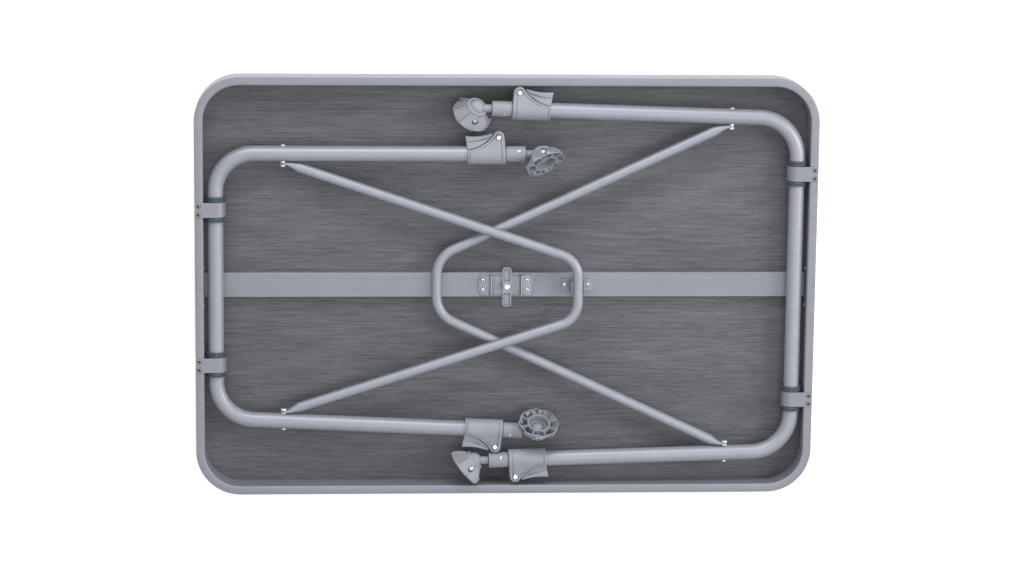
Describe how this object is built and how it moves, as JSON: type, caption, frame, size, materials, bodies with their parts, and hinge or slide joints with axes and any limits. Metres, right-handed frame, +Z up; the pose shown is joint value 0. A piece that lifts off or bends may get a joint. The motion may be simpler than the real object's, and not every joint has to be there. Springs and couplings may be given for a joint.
{
  "type": "folding table",
  "caption": "Camping table with a rounded rail frame, folding tube legs on braces, telescopic feet and a turn latch, lying folded on its top.",
  "frame": {"origin": "middle of the frame's lower edge, on the surface that the folded table lies on with its top face down", "axes": "+X along the long side, +Y across towards the rear rail, +Z up through the folded legs, away from the table top's outer face"},
  "size_m": [1, 0.68, 0.0839],
  "materials": {
    "rail_aluminium": "satin anodised silver grey",
    "tube_paint": "satin silver grey paint",
    "board_woodgrain": "matte dark grey wood grain laminate",
    "grey_plastic": "moulded matte grey",
    "bushing_plastic": "moulded dark blue grey",
    "bright_steel": "bright zinc plate"
  },
  "bodies": {
    "table_top": {"frame_rear": "rail_aluminium", "frame_front": "rail_aluminium", "joiner_left": "grey_plastic", "joiner_right": "grey_plastic", "table_board": "board_woodgrain", "centre_rail": "rail_aluminium", "brace_bracket": "rail_aluminium", "storage_clip": "grey_plastic", "latch_screw": "bright_steel", "strap_left_rear": "rail_aluminium", "strap_left_front": "rail_aluminium", "strap_right_rear": "rail_aluminium", "strap_right_front": "rail_aluminium", "bushing_left_rear": "bushing_plastic", "bushing_left_front": "bushing_plastic", "bushing_right_rear": "bushing_plastic", "bushing_right_front": "bushing_plastic"},
    "latch": {"latch_wing": "grey_plastic"},
    "left_legs": {"leg_tube_left": "tube_paint", "brace_bolt_left_rear": "bright_steel", "clamp_body_left_rear": "grey_plastic", "lever_pin_left_rear": "bright_steel", "brace_bolt_left_front": "bright_steel", "clamp_body_left_front": "grey_plastic", "lever_pin_left_front": "bright_steel"},
    "right_legs": {"leg_tube_right": "tube_paint", "brace_bolt_right_rear": "bright_steel", "clamp_body_right_rear": "grey_plastic", "lever_pin_right_rear": "bright_steel", "brace_bolt_right_front": "bright_steel", "clamp_body_right_front": "grey_plastic", "lever_pin_right_front": "bright_steel"},
    "left_brace": {"brace_left": "tube_paint"},
    "right_brace": {"brace_right": "tube_paint"},
    "lever_left_rear": {"clamp_lever_left_rear": "grey_plastic"},
    "lower_leg_left_rear": {"lower_leg_left_rear": "tube_paint", "leg_plug_left_rear": "grey_plastic", "ball_stud_left_rear": "grey_plastic"},
    "foot_left_rear": {"foot_left_rear": "grey_plastic", "foot_screw_left_rear": "bright_steel"},
    "lever_left_front": {"clamp_lever_left_front": "grey_plastic"},
    "lower_leg_left_front": {"lower_leg_left_front": "tube_paint", "leg_plug_left_front": "grey_plastic", "ball_stud_left_front": "grey_plastic"},
    "foot_left_front": {"foot_left_front": "grey_plastic", "foot_screw_left_front": "bright_steel"},
    "lever_right_rear": {"clamp_lever_right_rear": "grey_plastic"},
    "lower_leg_right_rear": {"lower_leg_right_rear": "tube_paint", "leg_plug_right_rear": "grey_plastic", "ball_stud_right_rear": "grey_plastic"},
    "foot_right_rear": {"foot_right_rear": "grey_plastic", "foot_screw_right_rear": "bright_steel"},
    "lever_right_front": {"clamp_lever_right_front": "grey_plastic"},
    "lower_leg_right_front": {"lower_leg_right_front": "tube_paint", "leg_plug_right_front": "grey_plastic", "ball_stud_right_front": "grey_plastic"},
    "foot_right_front": {"foot_right_front": "grey_plastic", "foot_screw_right_front": "bright_steel"}
  },
  "joints": [
    {"name": "latch_turn", "type": "hinge", "parent": "table_top", "child": "latch", "pos_m": [0, 0, 0.0418], "axis": [0, 0, 1], "range_deg": [0, 90]},
    {"name": "left_leg_fold", "type": "hinge", "parent": "table_top", "child": "left_legs", "pos_m": [-0.467, 0, 0.0345], "axis": [0, -1, 0], "range_deg": [0, 93.3]},
    {"name": "right_leg_fold", "type": "hinge", "parent": "table_top", "child": "right_legs", "pos_m": [0.467, 0, 0.0345], "axis": [0, 1, 0], "range_deg": [0, 93.3]},
    {"name": "left_brace_swing", "type": "hinge", "parent": "left_legs", "child": "left_brace", "pos_m": [-0.35907, 0, 0.03676], "axis": [0, -1, 0], "range_deg": [-105, 0]},
    {"name": "right_brace_swing", "type": "hinge", "parent": "right_legs", "child": "right_brace", "pos_m": [0.35907, 0, 0.03676], "axis": [0, 1, 0], "range_deg": [-105, 0]},
    {"name": "left_rear_lever", "type": "hinge", "parent": "left_legs", "child": "lever_left_rear", "pos_m": [-0.01565, 0.24439, 0.04396], "axis": [0.0209, 0, -0.9998], "range_deg": [0, 10]},
    {"name": "left_rear_extension", "type": "slide", "parent": "left_legs", "child": "lower_leg_left_rear", "axis": [0.9998, 0.0017, 0.0209], "range_m": [0, 0.09]},
    {"name": "left_rear_foot_tilt", "type": "hinge", "parent": "lower_leg_left_rear", "child": "foot_left_rear", "pos_m": [0.05189, 0.21701, 0.04537], "axis": [-0.0198, 0.4135, 0.9103], "range_deg": [0, 61.5]},
    {"name": "left_front_lever", "type": "hinge", "parent": "left_legs", "child": "lever_left_front", "pos_m": [-0.01715, -0.26218, 0.04396], "axis": [-0.0209, 0.0009, 0.9998], "range_deg": [0, 9]},
    {"name": "left_front_extension", "type": "slide", "parent": "left_legs", "child": "lower_leg_left_front", "axis": [0.9989, -0.0419, 0.0209], "range_m": [0, 0.09]},
    {"name": "left_front_foot_tilt", "type": "hinge", "parent": "lower_leg_left_front", "child": "foot_left_front", "pos_m": [0.05143, -0.23753, 0.04537], "axis": [0.04, 0.5301, -0.847], "range_deg": [0, 81]},
    {"name": "right_rear_lever", "type": "hinge", "parent": "right_legs", "child": "lever_right_rear", "pos_m": [0.01677, 0.31613, 0.04396], "axis": [0.0209, -0.0007, 0.9998], "range_deg": [0, 4]},
    {"name": "right_rear_extension", "type": "slide", "parent": "right_legs", "child": "lower_leg_right_rear", "axis": [-0.9992, 0.0333, 0.0209], "range_m": [0, 0.09]},
    {"name": "right_rear_foot_tilt", "type": "hinge", "parent": "lower_leg_right_rear", "child": "foot_right_rear", "pos_m": [-0.0516, 0.29089, 0.04537], "axis": [0.0089, 0.71, -0.7042], "range_deg": [0, 65]},
    {"name": "right_front_lever", "type": "hinge", "parent": "right_legs", "child": "lever_right_front", "pos_m": [0.01633, -0.31168, 0.04396], "axis": [-0.0209, -0.0005, -0.9998], "range_deg": [0, 4]},
    {"name": "right_front_extension", "type": "slide", "parent": "right_legs", "child": "lower_leg_right_front", "axis": [-0.9995, -0.0223, 0.0209], "range_m": [0, 0.09]},
    {"name": "right_front_foot_tilt", "type": "hinge", "parent": "lower_leg_right_front", "child": "foot_right_front", "pos_m": [-0.05176, -0.28569, 0.04537], "axis": [-0.0246, 0.1801, -0.9833], "range_deg": [0, 18]}
  ],
  "couplings": [
    {"joint": "right_leg_fold", "follows": "left_leg_fold", "ratio": 1},
    {"joint": "left_brace_swing", "follows": "left_leg_fold", "ratio": -1.113},
    {"joint": "right_brace_swing", "follows": "left_leg_fold", "ratio": -1.107}
  ]
}
